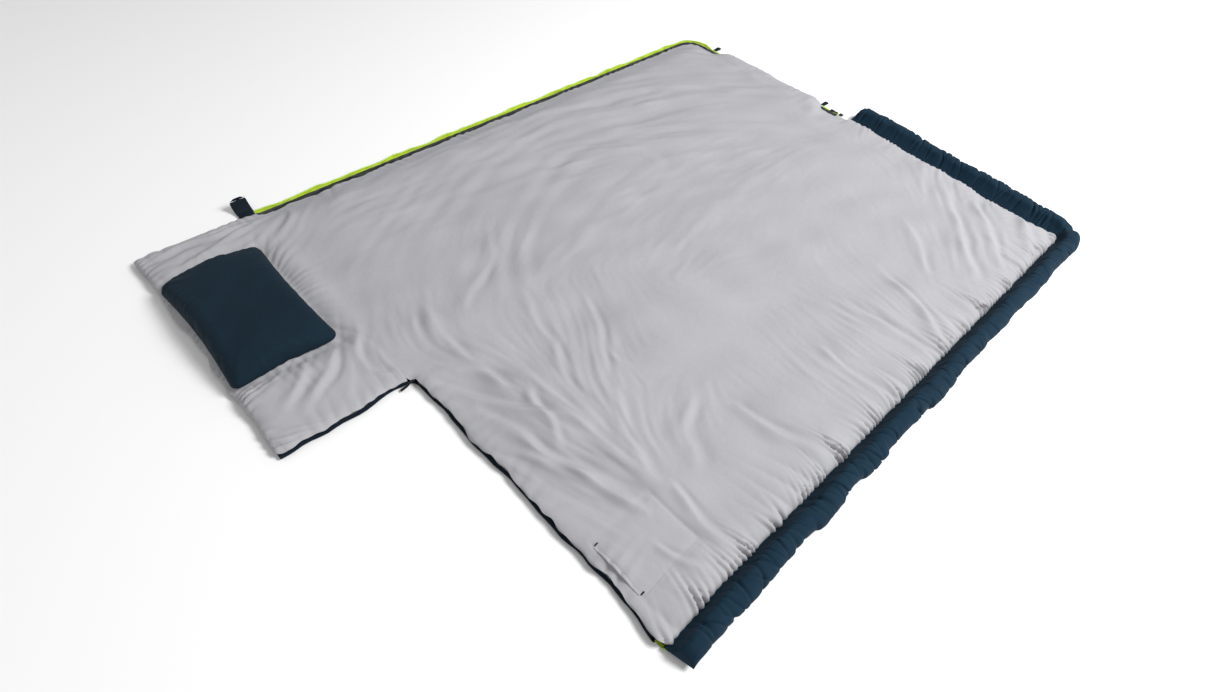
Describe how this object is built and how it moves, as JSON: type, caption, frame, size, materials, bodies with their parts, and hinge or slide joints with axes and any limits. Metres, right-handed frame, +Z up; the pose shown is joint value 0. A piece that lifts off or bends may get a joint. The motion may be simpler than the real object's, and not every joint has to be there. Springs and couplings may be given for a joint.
{
  "type": "rectangular sleeping bag",
  "caption": "Rectangular quilted sleeping bag with a hood and sewn-in pillow, unzipped and laid open flat, with a padded draught tube along the zip.",
  "frame": {"origin": "centre of the laid-open bag's box, on the floor", "axes": "+Y from the hood towards the foot end along the longest side, +X across the open bag from the plain zip edge to the side draught tube, +Z up out of the lining"},
  "size_m": [1.8136, 2.393, 0.0809],
  "materials": {
    "shell": "matt woven polyester",
    "lining": "soft matt plain weave",
    "wadding": "hollow fibre batting",
    "tube": "woven polyester with a faint sheen",
    "pillow": "brushed woven polyester",
    "zip_tape": "woven zip tape",
    "zip_coil": "moulded nylon coil",
    "band": "dense woven tape",
    "webbing": "woven tape",
    "hook": "hook and loop pile",
    "fitting": "moulded, satin",
    "elastic": "braided elastic cord"
  },
  "bodies": {
    "lower_half": {"shell_bottom": "shell", "wadding_bottom": "wadding", "lining_bottom": "lining", "zip_tape_bottom": "zip_tape", "zip_coil_bottom": "zip_coil", "anti_snag_tape": "band", "zip_box": "fitting", "zip_stop_bottom": "fitting", "closure_tab_base": "webbing", "hang_loop_corner": "webbing", "hang_loop_middle": "webbing", "corner_strap": "band"},
    "upper_half": {"shell_top": "shell", "wadding_top": "wadding", "lining_top": "lining", "zip_tape_top": "zip_tape", "zip_coil_top": "zip_coil", "zip_pin": "fitting", "zip_stop_top": "fitting", "draught_tube_side_casing": "tube", "draught_tube_side_filling": "wadding", "draught_tube_foot_casing": "tube", "draught_tube_foot_filling": "wadding", "pocket_bag": "lining", "pocket_edging": "lining", "pocket_bar_tack_inner": "lining", "pocket_bar_tack_outer": "lining", "closure_loop_patch": "hook"},
    "hood": {"shell_hood": "shell", "wadding_hood": "wadding", "lining_hood": "lining", "hood_elastic": "elastic", "pillow_cover_base": "pillow", "pillow_cover_top": "pillow", "pillow_filling": "wadding"},
    "tab": {"closure_tab": "webbing", "closure_hook_patch": "hook"},
    "slider": {"zip_slider": "fitting"},
    "pull": {"zip_pull": "fitting"}
  },
  "joints": [
    {"name": "fold_shut", "type": "hinge", "parent": "lower_half", "child": "upper_half", "pos_m": [-0.01609, 0.12846, 0.033], "axis": [0, -1, 0], "range_deg": [0, 179.5]},
    {"name": "hood_lift", "type": "hinge", "parent": "lower_half", "child": "hood", "pos_m": [-0.43309, -0.86654, 0.033], "axis": [-1, 0, 0], "range_deg": [0, 100]},
    {"name": "tab_curl", "type": "hinge", "parent": "lower_half", "child": "tab", "pos_m": [-0.87309, -0.87304, 0.004], "axis": [0, 1, 0], "range_deg": [-20, 70]},
    {"name": "slider_run", "type": "slide", "parent": "lower_half", "child": "slider", "axis": [-1, 0, 0], "range_m": [0, 0.62]},
    {"name": "pull_flip", "type": "hinge", "parent": "slider", "child": "pull", "pos_m": [-0.10409, 1.12131, 0.0077], "axis": [0, -1, 0], "range_deg": [0, 180]}
  ]
}
